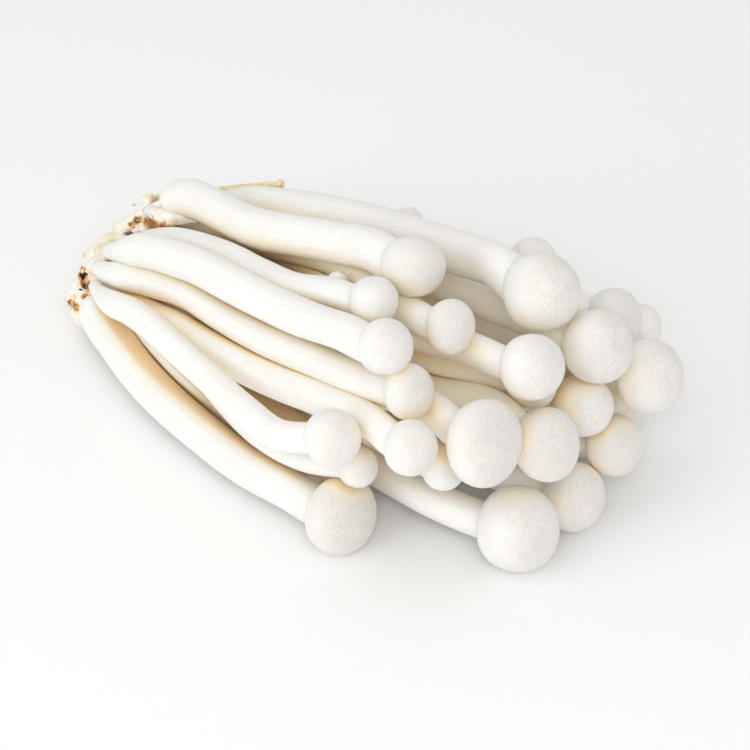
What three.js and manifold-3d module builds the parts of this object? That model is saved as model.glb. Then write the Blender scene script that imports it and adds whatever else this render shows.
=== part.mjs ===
// A bunch of white beech mushrooms, laid on its side as picked: a torn base, and the mushrooms that fan out
// of it.
// Millimetres, +Z up. The base is towards -X, the caps are towards +X, and the bunch rests on z = 0.
import * as THREE from "three";
import { mergeVertices } from "three/addons/utils/BufferGeometryUtils.js";
import Module from "manifold-3d";

const wasm = await Module();
wasm.setup();

const { Vector3 } = THREE;
const { degToRad: radians, lerp, smoothstep } = THREE.MathUtils;
const point = (x, y, z) => new Vector3(x, y, z);

// Where the bunch is drawn from: a mushroom's place is a pixel of a 750 x 750 drawing and a height over
// the table.
const drawing = {
  turn: radians(39), // how far the bunch points towards the viewer
  elevation: radians(38),
  distance: 620,
  focalPixels: 2708,
  middlePixel: 375,
  aim: point(0, 0, 30),
};
const toRight = point(Math.cos(drawing.turn), Math.sin(drawing.turn), 0);
const toBack = point(-Math.sin(drawing.turn), Math.cos(drawing.turn), 0);
const toTop = toBack.clone().multiplyScalar(Math.sin(drawing.elevation));
toTop.z = Math.cos(drawing.elevation);
const sight = toBack.clone().multiplyScalar(Math.cos(drawing.elevation));
sight.z = -Math.sin(drawing.elevation);
const eye = drawing.aim.clone().addScaledVector(sight, -drawing.distance);

function atPixel(px, py, height) {
  const { middlePixel, focalPixels } = drawing;
  const ray = sight
    .clone()
    .addScaledVector(toRight, (px - middlePixel) / focalPixels)
    .addScaledVector(toTop, (middlePixel - py) / focalPixels);
  return eye.clone().addScaledVector(ray, (height - eye.z) / ray.z);
}

// The torn base that all the mushrooms grow from.
const base = {
  centre: atPixel(108, 262, 13.5),
  rootRadius: 1.2,
  rootFloor: 3.2, // how high over the table the lowest roots leave it
  rootStart: 2.5, // how far ahead of the base's middle the roots start
};

const gap = 0.3; // between pieces that touch
const pressed = 0.35; // how much of a cap that lies on the table is pressed flat
const sides = 10; // of a mushroom's rings
const samples = 40; // along a mushroom, while the bunch is settled
const earlyRise = 0.75; // below 1, a stem gains its height early, as in a crowded fan
const stiffness = 0.05; // the share of a bend in depth that a stem takes back while the bunch is settled

// Where a stem gains its full width, before and after the place where its drawn line starts.
const feet = { blunt: [-4, 2], stout: [-7, 8], slender: [-7, 30] };

// The mushrooms in view. line: the stem's middle line from the base to the cap, in pixels of the drawing.
// rise: the height over the table where the line starts and at the cap. wide: the cap, the stem and its neck.
// deep: how deep the cap is for its width, where 1 is nearly a ball. rests: the cap lies on the table.
const inView = [
  { line: [[179, 199], [200, 202], [223, 213], [260, 230], [320, 240], [365, 248]], at: [415, 267],
    rise: [36, 60], wide: [13.8, 9.6, 7], deep: 1, foot: feet.blunt },
  { line: [[142, 246], [170, 243], [200, 248], [240, 262], [283, 284], [345, 295]], at: [375, 300.5],
    rise: [24, 56], wide: [10.7, 7, 5.2], deep: 1, foot: feet.stout },
  { line: [[138, 256], [160, 257], [200, 267], [240, 288], [300, 317], [352, 335]], at: [387, 347],
    rise: [28, 52], wide: [12.3, 8.6, 6], deep: 0.8, foot: feet.stout },
  { line: [[110, 276], [140, 281], [180, 293], [240, 328], [300, 354], [372, 385]], at: [409.5, 393],
    rise: [22, 46], wide: [12.2, 8, 6.4], deep: 0.68, foot: feet.stout },
  { line: [[148, 302], [180, 320], [220, 350], [260, 374], [320, 397], [370, 420]], at: [412.5, 447.5],
    rise: [18, 38], wide: [12, 7.6, 7], deep: 0.85, foot: feet.stout },
  { line: [[106, 298], [130, 309], [152, 324], [185, 356], [220, 388], [260, 422], [300, 443]],
    at: [334, 438], rise: [15, 32], wide: [12.9, 6.8, 5.6], deep: 0.75, foot: feet.stout },
  { line: [[96, 312], [112, 333], [129, 356], [165, 395], [206, 434], [249, 468], [300, 495]], at: [343, 516],
    rise: [10, 8.5], wide: [18.2, 9.6, 7], deep: 0.62, foot: feet.stout, rests: true },
  { line: [[130, 300], [200, 372], [260, 436], [325, 466]], at: [359, 467],
    rise: [12, 20], wide: [9.2, 5.6, 4.4] },
  { line: [[120, 310], [180, 388], [240, 442], [285, 474]], at: [312, 486],
    rise: [8, 11], wide: [5.6, 4, 3] },
  { line: [[160, 215], [225, 228], [270, 248], [330, 268], [400, 306]], at: [452, 326],
    rise: [27, 50], wide: [12.2, 7.4, 5.8], deep: 0.62 },
  { line: [[240, 207], [300, 212], [340, 218], [400, 234], [440, 247], [508, 271]], at: [544, 292],
    rise: [33, 50], wide: [16.9, 10, 7.8], deep: 1, foot: feet.stout },
  { line: [[150, 250], [280, 285], [350, 312], [400, 328], [440, 342], [505, 356]], at: [534, 367],
    rise: [24, 47], wide: [14.6, 7.4, 6.6] },
  { line: [[150, 262], [280, 305], [360, 340], [415, 358], [440, 364], [505, 379]], at: [532, 384],
    rise: [20, 37], wide: [12.2, 7, 6] },
  { line: [[190, 225], [300, 238], [400, 268], [460, 290], [500, 306], [565, 331]], at: [599, 347],
    rise: [24, 42], wide: [16.6, 9, 7] },
  { line: [[200, 215], [320, 230], [420, 255], [520, 288], [590, 308]], at: [616, 317],
    rise: [22, 36], wide: [13.4, 8, 6.2] },
  { line: [[200, 225], [320, 245], [450, 275], [560, 300], [620, 318]], at: [642, 327],
    rise: [16, 22], wide: [11, 7, 5] },
  { line: [[180, 245], [320, 280], [450, 320], [560, 352], [615, 366]], at: [651, 376],
    rise: [19, 32], wide: [16.9, 8.8, 7] },
  { line: [[150, 265], [280, 305], [400, 348], [500, 385], [555, 399]], at: [584, 406],
    rise: [17, 33], wide: [13.8, 8, 6.4], deep: 1 },
  { line: [[130, 285], [250, 340], [370, 385], [500, 420], [587, 442]], at: [614.5, 446],
    rise: [11, 18], wide: [14.2, 7.6, 6] },
  { line: [[130, 290], [250, 365], [350, 410], [450, 450], [540, 484]], at: [572, 495],
    rise: [9, 7.7], wide: [15.9, 8, 6.4], rests: true },
  { line: [[150, 275], [260, 325], [370, 362], [440, 391], [515, 413]], at: [549, 444],
    rise: [17, 33], wide: [16.5, 7.4, 6.4], deep: 0.7 },
  { line: [[140, 285], [250, 340], [350, 378], [430, 408], [456, 428]], at: [486, 443],
    rise: [18, 38], wide: [18.9, 8, 7], deep: 0.62 },
  { line: [[125, 300], [220, 380], [320, 440], [406, 485], [436, 500], [472, 519]], at: [523, 527],
    rise: [9, 9.4], wide: [19.4, 8.4, 7.4], rests: true },
  { line: [[130, 295], [240, 360], [340, 415], [410, 452]], at: [445, 467],
    rise: [15, 26], wide: [10.3, 6.6, 5.2] },
  { line: [[200, 205], [300, 212], [400, 228], [440, 241], [510, 261]], at: [535, 264],
    rise: [27, 38], wide: [12.2, 7.4, 5.8] },
  { line: [[190, 210], [270, 212], [340, 214], [385, 219]], at: [410, 222],
    rise: [20, 27], wide: [7.6, 6, 4.4] },
  { line: [[170, 255], [280, 295], [380, 345], [440, 370]], at: [478, 382],
    rise: [15, 27], wide: [7.4, 5.4, 4] },
  { line: [[170, 225], [240, 240], [290, 262], [322, 274]], at: [340, 279],
    rise: [12, 46], wide: [5, 3.6, 2.6] },
  { line: [[170, 265], [300, 310], [430, 345], [560, 380]], at: [610, 392],
    rise: [13, 18], wide: [11.4, 7, 5.4] },
  { line: [[125, 305], [190, 382], [240, 425], [280, 457], [320, 477]], at: [348, 492],
    rise: [10, 7], wide: [7.6, 4.6, 3.6] },
];

// A thin stem that never grew a cap, dried yellow, with a blunt end.
const thinStem = {
  line: [[172, 214], [196, 199], [215, 191], [250, 187]], at: [281, 184],
  rise: [30, 41], wide: [2.2, 1.6, 1.8], deep: 0.5, foot: feet.stout,
};

// The mushrooms under and behind those, which the drawing hides: a row on the table from the middle to
// the back.
const hiddenRow = {
  count: 10,
  caps: { ahead: [18, 35, 3, 26], across: [18, 50], width: [13, 9.5, 11.5] },
};

const capsMiddle = inView
  .reduce((sum, m) => sum.add(atPixel(...m.at, m.rise[1])), point(0, 0, 0))
  .divideScalar(inView.length);
const axis = capsMiddle.clone().sub(base.centre).normalize();

// The places on a mushroom's middle line between its root and its cap.
function drawnLine({ line, at, rise }) {
  const pixels = [...line, at];
  const steps = pixels.map(([x, y], i) => (i ? Math.hypot(x - pixels[i - 1][0], y - pixels[i - 1][1]) : 0));
  const whole = steps.reduce((a, b) => a + b);
  let run = 0;
  return pixels.map(([x, y], i) => {
    run += steps[i];
    return atPixel(x, y, lerp(...rise, (run / whole) ** earlyRise));
  });
}

function hiddenLine(i) {
  const { ahead, across, width } = hiddenRow.caps;
  const cap = width[i % width.length];
  const y = lerp(...across, i / (hiddenRow.count - 1));
  const at = point(ahead[i % ahead.length], y, cap / 2);
  const half = base.centre.clone().lerp(at, 0.55);
  half.z = 7 + 2.5 * (i % 3);
  const first = base.centre.clone().lerp(at, 0.14);
  first.z = 5 + 1.5 * (i % 4);
  return { places: [first, half, at], wide: [cap, 0.5 * cap + 1.4, 0.4 * cap + 1], hidden: true };
}

// A stem's radius at a distance from the root's end: a thin root, a thick foot, and a slow taper to the neck.
function stemRadius({ wide, foot = feet.slender, length, rootLength }, distance) {
  const [, stem, neck] = wide;
  const full = lerp(stem, neck, smoothstep(distance / length, 0.35, 0.95)) / 2;
  return lerp(base.rootRadius, full, smoothstep(distance, rootLength + foot[0], rootLength + foot[1]));
}

// A mushroom's joints: the middles of its stem's rings, and last the middle of its cap.
function grow({ places, ...m }) {
  const first = places[0].clone().sub(base.centre);
  const ahead = first.dot(axis);
  const across = first.addScaledVector(axis, -ahead);
  const spread = 0.95 / (1 + Math.max(0, ahead) / 16);
  const root = base.centre.clone().addScaledVector(across, spread).addScaledVector(axis, base.rootStart);
  const curve = new THREE.CatmullRomCurve3([root, ...places], false, "centripetal");
  const length = curve.getLength();
  const rootLength = curve.getLengths(places.length * 20)[20];
  const stemEnd = length - 0.4 * m.wide[0];
  const climbs = [0.15, 0.28, 0.43, 0.59, 0.75, 0.9].map((t) => lerp(rootLength, stemEnd, t));
  const stations = [0, Math.max(3, rootLength - 4), rootLength + 4, ...climbs, length];
  const joints = stations.map((distance) => curve.getPointAt(distance / length));
  const home = joints.map((p) => p.clone());
  const radii = stations.map((distance) => stemRadius({ ...m, length, rootLength }, distance));
  const grown = { ...m, joints, home, radii, length };
  grown.samples = sampled(grown, stations);
  return grown;
}

// Samples of a mushroom, closer together at the thin root, each between two joints and with the room that
// it needs.
function sampled({ radii, length, wide }, stations) {
  return Array.from({ length: samples }, (_, i) => {
    const distance = length * (i / (samples - 1)) ** 1.3;
    const next = Math.max(1, stations.findIndex((d) => d >= distance - 1e-6));
    const share = (distance - stations[next - 1]) / (stations[next] - stations[next - 1]);
    const stem = lerp(radii[next - 1], radii[next], share);
    const cap = Math.sqrt(Math.max(0, (wide[0] / 2) ** 2 - (length - distance) ** 2));
    return { next, share, radius: Math.max(stem, cap), at: point(0, 0, 0) };
  });
}

// Settles the bunch: mushrooms that cross push each other apart, mostly along the line of sight, so that the
// drawing keeps its places. Each push is smoothed along the stem, so that the stems stay even curves.
function settle(chains) {
  const rounds = 800;
  const acrossDrawing = 0.25; // the share of a push that may move a mushroom in view across the drawing
  for (let round = 0; round < rounds; round++) {
    const hold = 0.1 * (1 - round / rounds); // how much of that is taken back in a round, less and less
    for (const c of chains) {
      c.pushes = c.joints.map(() => point(0, 0, 0));
      for (const s of c.samples) s.at.lerpVectors(c.joints[s.next - 1], c.joints[s.next], s.share);
    }
    chains.forEach((one, a) => chains.slice(a + 1).forEach((other) => pushApart(one, other)));
    for (const c of chains) {
      smoothAlong(c.pushes);
      const share = c.hidden ? 1 : acrossDrawing;
      straighten(c.joints);
      c.joints.forEach((p, k) => {
        const last = k === c.joints.length - 1;
        p.addScaledVector(sight, c.pushes[k].dot(sight) * (1 - share)).addScaledVector(c.pushes[k], share);
        const kept = c.hidden || (c.rests && k > 5); // in depth too
        const off = kept ? p.clone().sub(c.home[k]) : strayed(p, c.home[k]);
        p.addScaledVector(off, -hold * Math.min(1, 0.2 + k / 4));
        const lowest = (last ? c.wide[0] / 2 : c.radii[k]) - pressed;
        p.z = Math.max(p.z, k < 2 ? base.rootFloor : lowest);
      });
    }
  }
}

// Eases a mushroom's bends along the line of sight, as a stiff stem does.
function straighten(joints) {
  const depths = joints.map((p) => p.dot(sight));
  for (let k = 1; k < joints.length - 1; k++) {
    const before = joints[k].distanceTo(joints[k - 1]);
    const after = joints[k].distanceTo(joints[k + 1]);
    const even = lerp(depths[k - 1], depths[k + 1], before / (before + after));
    joints[k].addScaledVector(sight, stiffness * (even - depths[k]));
  }
}

// How far a point has strayed from the ray that its first place was drawn on.
function strayed(p, home) {
  const ray = home.clone().sub(eye).normalize();
  const off = p.clone().sub(home);
  return off.addScaledVector(ray, -off.dot(ray));
}

const between = point(0, 0, 0);
function pushApart(one, other) {
  for (const s of one.samples)
    for (const t of other.samples) {
      const reach = s.radius + t.radius + 2 * gap;
      if (Math.abs(s.at.x - t.at.x) >= reach) continue;
      const apart = between.subVectors(s.at, t.at).length();
      if (apart >= reach || apart === 0) continue;
      between.multiplyScalar((0.2 * (reach - apart)) / apart);
      pushJoints(one, s, 1);
      pushJoints(other, t, -1);
    }
}

function pushJoints(c, s, sign) {
  c.pushes[s.next - 1].addScaledVector(between, sign * (1 - s.share));
  c.pushes[s.next].addScaledVector(between, sign * s.share);
}

function smoothAlong(values) {
  const before = values.map((v) => v.clone());
  values.forEach((v, k) => {
    const last = before[Math.max(0, k - 1)];
    const next = before[Math.min(values.length - 1, k + 1)];
    v.multiplyScalar(0.5).addScaledVector(last, 0.25).addScaledVector(next, 0.25);
  });
}

// A closed skin over rings of equally many points, with a pole at each end.
function skin(rings, startPole, endPole) {
  const count = rings[0].length;
  const positions = [startPole, ...rings.flat(), endPole].flatMap((p) => p.toArray());
  const index = [];
  const lastRing = 1 + (rings.length - 1) * count;
  for (let k = 0; k < count; k++) {
    const next = (k + 1) % count;
    index.push(0, 1 + k, 1 + next);
    for (let a = 1; a < lastRing; a += count) {
      const b = a + count;
      index.push(a + k, b + next, a + next, a + k, b + k, b + next);
    }
    index.push(lastRing + k, lastRing + count, lastRing + next);
  }
  const geometry = new THREE.BufferGeometry();
  geometry.setAttribute("position", new THREE.Float32BufferAttribute(positions, 3));
  geometry.setIndex(index);
  geometry.computeVertexNormals();
  return geometry;
}

// A ring round a direction. Its first point is the lowest one.
function ring(centre, direction, radius, count = sides) {
  const out = point(0, 0, 1).addScaledVector(direction, -direction.z).normalize();
  const side = direction.clone().cross(out);
  return Array.from({ length: count }, (_, k) => {
    const turn = (2 * Math.PI * k) / count;
    const p = centre.clone();
    return p.addScaledVector(out, -radius * Math.cos(turn)).addScaledVector(side, radius * Math.sin(turn));
  });
}

// A cap's outline from the hollow round the stem, over the rolled rim, to the apex: how far along the
// cap's axis and how far out from it, as shares of the cap's half width.
const capOutline = [
  [-0.42, 0],
  [-0.74, 0.68],
  [-0.52, 0.94],
  [0, 1.01],
  [0.47, 0.87],
  [0.76, 0.6],
  [0.9, 0.28],
  [0.93, 0],
];
// Where the caps face: right in the drawing and to the viewer, and a little with their stems and outwards.
const capTurn = { toRight: 0.72, toViewer: 0.7, withStem: 0.15, outwards: 0.1 };

function mushroomGeometry(c) {
  const half = c.wide[0] / 2;
  const deep = half * (c.deep ?? 0.87);
  const head = c.joints.at(-1);
  const outwards = head.clone().sub(base.centre).projectOnPlane(axis).divideScalar(30);
  const stemEnd = directionAt(c.joints, c.joints.length - 1);
  const facing = stemEnd
    .sub(axis)
    .multiplyScalar(capTurn.withStem)
    .addScaledVector(outwards, capTurn.outwards)
    .addScaledVector(toRight, capTurn.toRight)
    .addScaledVector(sight, -capTurn.toViewer)
    .normalize();
  const onFacing = (along) => head.clone().addScaledVector(facing, along * deep);
  const rings = c.joints.slice(0, -1).map((p, k) => ring(p, directionAt(c.joints, k), c.radii[k]));
  for (const [along, out] of capOutline.slice(0, -1)) {
    rings.push(ring(onFacing(along), facing, Math.max(out * half, c.wide[2] / 2)));
  }
  for (const p of rings.flat()) p.z = Math.max(p.z, 0); // what would go through the table is pressed flat
  const rootEnd = c.joints[0].clone().addScaledVector(directionAt(c.joints, 0), -0.5);
  return skin(rings, rootEnd, onFacing(capOutline.at(-1)[0]));
}

function directionAt(joints, k) {
  const before = joints[Math.max(0, k - 1)];
  const after = joints[Math.min(joints.length - 1, k + 1)];
  return after.clone().sub(before).normalize();
}

const withCaps = [
  ...inView.map((m) => grow({ ...m, places: drawnLine(m) })),
  ...Array.from({ length: hiddenRow.count }, (_, i) => grow(hiddenLine(i))),
];
const withoutCap = grow({ ...thinStem, places: drawnLine(thinStem) });
const chains = [...withCaps, withoutCap];
settle(chains);

// The torn base: lumps round the roots' ends, given by how far they lie ahead, across and up, and their
// half sizes.
const lumps = [
  { at: [3, 0, -1], half: [6.5, 13, 10.5] },
  { at: [3.5, -10.5, -6.5], half: [4.5, 6, 5.5] },
  { at: [4.5, 10, 3], half: [5.5, 8, 8] },
  { at: [4, 3, -9.5], half: [6.5, 11, 5] },
];
// Torn skins that curl off the base. line and rise are as for the mushrooms; wide is a skin's width where
// it is widest, thick its thickness, and curl how far its edges turn up.
const tears = [
  { line: [[133, 245], [122, 239], [110, 239], [98, 248], [86, 260]], rise: [21, 15],
    wide: 5.4, thick: 1.6, curl: 1.4 },
  { line: [[124, 248], [140, 220], [147, 206], [160, 200], [174, 202]], rise: [18, 33],
    wide: 4.6, thick: 1.6, curl: 1.2 },
  { line: [[106, 284], [90, 294], [73, 303]], rise: [12, 5],
    wide: 7, thick: 2, curl: 1 },
];

const deformed = (geometry, place) => {
  const positions = geometry.attributes.position;
  const p = point(0, 0, 0);
  for (let i = 0; i < positions.count; i++) {
    place(p.fromBufferAttribute(positions, i));
    positions.setXYZ(i, p.x, p.y, p.z);
  }
  return geometry;
};

// A lumpy ball: its skin swells and sinks in waves, which differ from lump to lump.
function lumpGeometry({ at: [ahead, across, up], half }, number) {
  const ball = new THREE.IcosahedronGeometry(1, 2);
  const middle = base.centre.clone().add(point(ahead, across, up));
  return deformed(ball, (p) => {
    const broad = Math.sin(5 * p.y + 2 * number) * Math.cos(4 * p.z + number);
    const fine = 0.6 * Math.sin(9 * p.x + 7 * p.z);
    p.multiplyScalar(1 + 0.09 * (broad + fine)).multiply(point(...half)).add(middle);
  });
}

// A curled strip: its sections are flattened ovals whose edges turn up, and it narrows to both ends.
function tearGeometry({ line, rise, wide, thick, curl }) {
  const places = drawnLine({ line: line.slice(0, -1), at: line.at(-1), rise });
  const curve = new THREE.CatmullRomCurve3(places);
  const count = 9;
  const sections = Array.from({ length: count }, (_, k) => {
    const t = (k + 0.5) / count;
    const along = curve.getTangent(t);
    const out = toTop.clone().projectOnPlane(along).normalize();
    const side = along.clone().cross(out);
    const width = (wide / 2) * (0.35 + 0.65 * Math.sin(Math.PI * t) ** 0.6);
    return Array.from({ length: sides }, (_, i) => {
      const turn = (2 * Math.PI * i) / sides;
      const lift = curl * Math.sin(turn) ** 2 - (thick / 2) * Math.cos(turn);
      return curve.getPoint(t).addScaledVector(side, width * Math.sin(turn)).addScaledVector(out, lift);
    });
  });
  return skin(sections, curve.getPoint(0), curve.getPoint(1));
}

function toSolid(geometry) {
  const bare = geometry.clone();
  bare.deleteAttribute("normal");
  bare.deleteAttribute("uv");
  const merged = mergeVertices(bare, 1e-4);
  return new wasm.Manifold(
    new wasm.Mesh({
      numProp: 3,
      vertProperties: Float32Array.from(merged.attributes.position.array),
      triVerts: Uint32Array.from(merged.index.array),
    }),
  );
}

function toGeometry(solid) {
  const { vertProperties, triVerts } = solid.getMesh();
  const geometry = new THREE.BufferGeometry();
  geometry.setAttribute("position", new THREE.Float32BufferAttribute(vertProperties, 3));
  geometry.setIndex([...triVerts]);
  geometry.computeVertexNormals();
  return geometry;
}

// The room that a mushroom's root and foot need in the base: six-sided, and clear of the root by the gap.
function rootRoom({ joints, radii }) {
  const around = 6;
  const wider = 1 / Math.cos(Math.PI / around);
  const rings = joints
    .slice(0, 4)
    .map((p, k) => ring(p, directionAt(joints, k), (radii[k] + gap) * wider, around));
  const behind = joints[0].clone().addScaledVector(directionAt(joints, 0), -1);
  return toSolid(skin(rings, behind, joints[4]));
}

// The base without the room for the roots, and cut flat where it lies on the table.
function baseGeometry(chains) {
  const parts = [...lumps.map(lumpGeometry), ...tears.map(tearGeometry)].map(toSolid);
  const whole = parts.reduce((sum, part) => sum.add(part));
  const clear = chains.map(rootRoom).reduce((left, room) => left.subtract(room), whole);
  const table = new THREE.BoxGeometry(80, 80, 20).translate(base.centre.x, base.centre.y, -10);
  return toGeometry(clear.subtract(toSolid(table)));
}

const group = new THREE.Group();
const flesh = new THREE.MeshStandardMaterial({ color: 0xf3f0e8, roughness: 0.6, metalness: 0 });
function add(name, geometry, material) {
  const mesh = new THREE.Mesh(geometry, material);
  mesh.name = name;
  group.add(mesh);
}
withCaps.forEach((c, i) => add(`mushroom_${String(i + 1).padStart(2, "0")}`, mushroomGeometry(c), flesh));
const torn = new THREE.MeshStandardMaterial({ color: 0xe9dcc0, roughness: 0.75, metalness: 0 });
add("thin_stem", mushroomGeometry(withoutCap), torn);
add("base", baseGeometry(chains), torn);

// The group's origin is the middle of the bunch's footprint on the table.
const footprint = new THREE.Box3().setFromObject(group).getCenter(point(0, 0, 0));
group.position.set(-footprint.x, -footprint.y, 0);

export default group;
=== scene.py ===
import math

import bpy
import numpy as np
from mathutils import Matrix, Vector


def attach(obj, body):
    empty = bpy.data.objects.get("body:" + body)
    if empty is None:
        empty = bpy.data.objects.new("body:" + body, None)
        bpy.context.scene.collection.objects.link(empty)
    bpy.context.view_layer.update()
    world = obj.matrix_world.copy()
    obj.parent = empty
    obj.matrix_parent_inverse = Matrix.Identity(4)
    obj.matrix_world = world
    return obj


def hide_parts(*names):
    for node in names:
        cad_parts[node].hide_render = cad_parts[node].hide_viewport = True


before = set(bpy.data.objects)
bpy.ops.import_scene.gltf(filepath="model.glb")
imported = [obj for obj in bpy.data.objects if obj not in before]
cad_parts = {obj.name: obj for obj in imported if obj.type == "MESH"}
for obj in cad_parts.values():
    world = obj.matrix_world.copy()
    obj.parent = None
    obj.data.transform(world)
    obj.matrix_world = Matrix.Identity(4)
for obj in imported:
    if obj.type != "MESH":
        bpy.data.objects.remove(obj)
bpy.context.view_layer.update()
draw = np.random.default_rng(7)  # every random value comes from here, in a fixed order
print("frame loaded with", len(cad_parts), "nodes")

millimetre = 0.001

# The camera stands where the photograph was taken from. Its rays also place the small torn pieces.
cameraSettings = {
    "turn": 39.0,  # degrees from looking along +Y
    "lift": 38.0,  # degrees above the table
    "distance": 0.62,
    "lens": 129.98,
    "sensor": 36.0,
    "aim": (0.02147, -0.01462, 0.030),
    "middlePixel": 375,
}


def turned(turn, lift):  # the direction from the object to a viewer at this turn and lift, in degrees
    a, b = math.radians(turn), math.radians(lift)
    return np.array((math.sin(a) * math.cos(b), -math.cos(a) * math.cos(b), math.sin(b)))


toViewer = turned(cameraSettings["turn"], cameraSettings["lift"])
toRight = turned(cameraSettings["turn"] + 90, 0)
toTop = np.cross(toViewer, toRight)
eye = np.array(cameraSettings["aim"]) + cameraSettings["distance"] * toViewer
focal = cameraSettings["lens"] / cameraSettings["sensor"] * 2 * cameraSettings["middlePixel"]


def onRays(pixels):  # places on the camera's rays: rows of pixel x, pixel y and height in millimetres
    across, down, height = np.array(pixels, float).T[:, :, None]
    middle = cameraSettings["middlePixel"]
    rays = -toViewer + (across - middle) / focal * toRight + (middle - down) / focal * toTop
    return eye + rays * (height * millimetre - eye[2]) / rays[:, 2:]


def unit(vectors):
    return vectors / np.maximum(np.linalg.norm(vectors, axis=-1, keepdims=True), 1e-12)


def smoothStep(values, low, high):
    t = np.clip((values - low) / (high - low), 0, 1)
    return t * t * (3 - 2 * t)


# Smooth noise from -1 to 1: random values at the corners of a lattice, blended with smooth weights. A
# corner's value is mixed from its three whole numbers and the seed.
noiseSettings = {"spread": (73856093, 19349663, 83492791), "seedSpread": 2654435761, "mix": 1274126177}


def noise(places, size, seed):
    cell = places / size
    corner = np.floor(cell).astype(np.int64)
    t = smoothStep(cell - corner, 0, 1)
    total = np.zeros(len(places))
    for shift in np.ndindex(2, 2, 2):
        x, y, z = ((corner + shift) * noiseSettings["spread"]).T
        mixed = x ^ y ^ z ^ (seed * noiseSettings["seedSpread"])
        mixed = (mixed ^ (mixed >> 13)) * noiseSettings["mix"] & 0x7FFFFFFF
        mixed = (mixed ^ (mixed >> 15)) & 0xFFFF  # 16 bits are kept
        weight = np.prod(np.where(shift, t, 1 - t), axis=1)
        total += weight * (mixed / 32767.5 - 1)
    return total


def alongLine(points):  # how far along a line each of its points lies
    return np.concatenate([[0], np.cumsum(np.linalg.norm(np.diff(points, axis=0), axis=1))])


def fullTurn(count):  # angles all round
    return np.arange(count) / count * 2 * math.pi


def gathered(*values):  # rows of x, y and z, from values that may be the same down a grid or across it
    return np.stack(np.broadcast_arrays(*values), axis=-1).reshape(-1, 3)


# A smooth line through rows of values, with the slope at each row from its neighbours on both sides.
def smoothLine(stations, rows, wanted, endSlope=None):
    steps = np.diff(stations)[:, None]
    rises = np.diff(rows, axis=0) / steps
    slopes = np.empty_like(rows)
    slopes[1:-1] = (rises[:-1] * steps[1:] + rises[1:] * steps[:-1]) / (steps[1:] + steps[:-1])
    slopes[0] = rises[0]
    slopes[-1] = rises[-1] if endSlope is None else endSlope
    k = np.clip(np.searchsorted(stations, wanted, side="right") - 1, 0, len(stations) - 2)
    step = steps[k]
    t = (wanted - stations[k])[:, None] / step
    ahead, behind = rows[k + 1], rows[k]
    return (
        behind * (1 + 2 * t) * (1 - t) ** 2
        + ahead * t * t * (3 - 2 * t)
        + slopes[k] * step * t * (1 - t) ** 2
        - slopes[k + 1] * step * t * t * (1 - t)
    )


# A closed skin over a grid of rows of points that run round, with a pole at each end.
def skinFaces(rowCount, around):
    one = np.arange(around)
    two = np.roll(one, -1)
    rows = 1 + around * np.arange(rowCount - 1)[:, None]
    quads = np.stack([rows + one, rows + one + around, rows + two + around, rows + two], axis=-1)
    last = 1 + around * (rowCount - 1)
    start = np.stack([0 * one, 1 + one, 1 + two], axis=-1)
    end = np.stack([last + one, 0 * one + last + around, last + two], axis=-1)
    return start.tolist() + quads.reshape(-1, 4).tolist() + end.tolist()


def placed(name, data):
    thing = bpy.data.objects.new(name, data)
    bpy.context.scene.collection.objects.link(thing)
    return thing


def meshPiece(name, points, faces):
    mesh = bpy.data.meshes.new(name)
    mesh.from_pydata(points.tolist(), [], faces)
    mesh.shade_smooth()
    return placed(name, mesh)


def store(piece, name, values):
    kind, field = ("FLOAT", "value") if values.ndim == 1 else ("FLOAT_VECTOR", "vector")
    layer = piece.data.attributes.new(name, kind, "POINT")
    layer.data.foreach_set(field, np.ascontiguousarray(values, np.float32).ravel())


def readField(items, field, width, kind):  # a row of values for each of a mesh's points, corners or edges
    values = np.empty(len(items) * width, kind)
    items.foreach_get(field, values)
    return values.reshape(-1, width)


def readMesh(node):  # a node's points with doubles merged, and its triangles
    loose = readField(node.data.vertices, "co", 3, np.float32)
    corners = readField(node.data.loops, "vertex_index", 1, np.int32).ravel()
    step = 1e-5
    places, index = np.unique(np.round(loose / step), axis=0, return_inverse=True)
    return places * step, index.ravel()[corners].reshape(-1, 3)


# A mushroom's solid is a net of rings between two poles. Every point of a ring is equally many edges away
# from the pole at the root.
ringSettings = {"sides": 10, "rings": 16, "stemRings": 9, "hollow": -0.42, "rim": 1.01, "apex": 0.93}


def readMushroom(node):
    places, triangles = readMesh(node)
    edges = np.sort(triangles[:, [[0, 1], [1, 2], [2, 0]]].reshape(-1, 2), axis=1)
    edges = np.unique(edges, axis=0)
    poles = np.flatnonzero(np.bincount(edges.ravel()) == ringSettings["sides"])
    level = np.full(len(places), -1)
    level[poles[np.argmin(places[poles, 0])]] = 0
    both = np.concatenate([edges, edges[:, ::-1]])
    for k in range(1, ringSettings["rings"] + 2):
        near = both[(level[both[:, 0]] == k - 1) & (level[both[:, 1]] < 0), 1]
        level[near] = k
    rings = [places[level == k + 1] for k in range(ringSettings["rings"])]
    middles = np.array([ring.mean(axis=0) for ring in rings])
    radii = np.array([np.linalg.norm(ring - ring.mean(axis=0), axis=1).mean() for ring in rings])
    apex = places[level == ringSettings["rings"] + 1][0]
    stem = ringSettings["stemRings"]
    facing = unit(apex - middles[stem])
    deep = np.linalg.norm(apex - middles[stem]) / (ringSettings["apex"] - ringSettings["hollow"])
    return {
        "middles": middles[: stem + 1],
        "radii": radii[: stem + 1],
        "facing": facing,
        "deep": deep,
        "half": radii[stem + 3] / ringSettings["rim"],
        "head": middles[stem] - ringSettings["hollow"] * deep * facing,
    }


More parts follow.
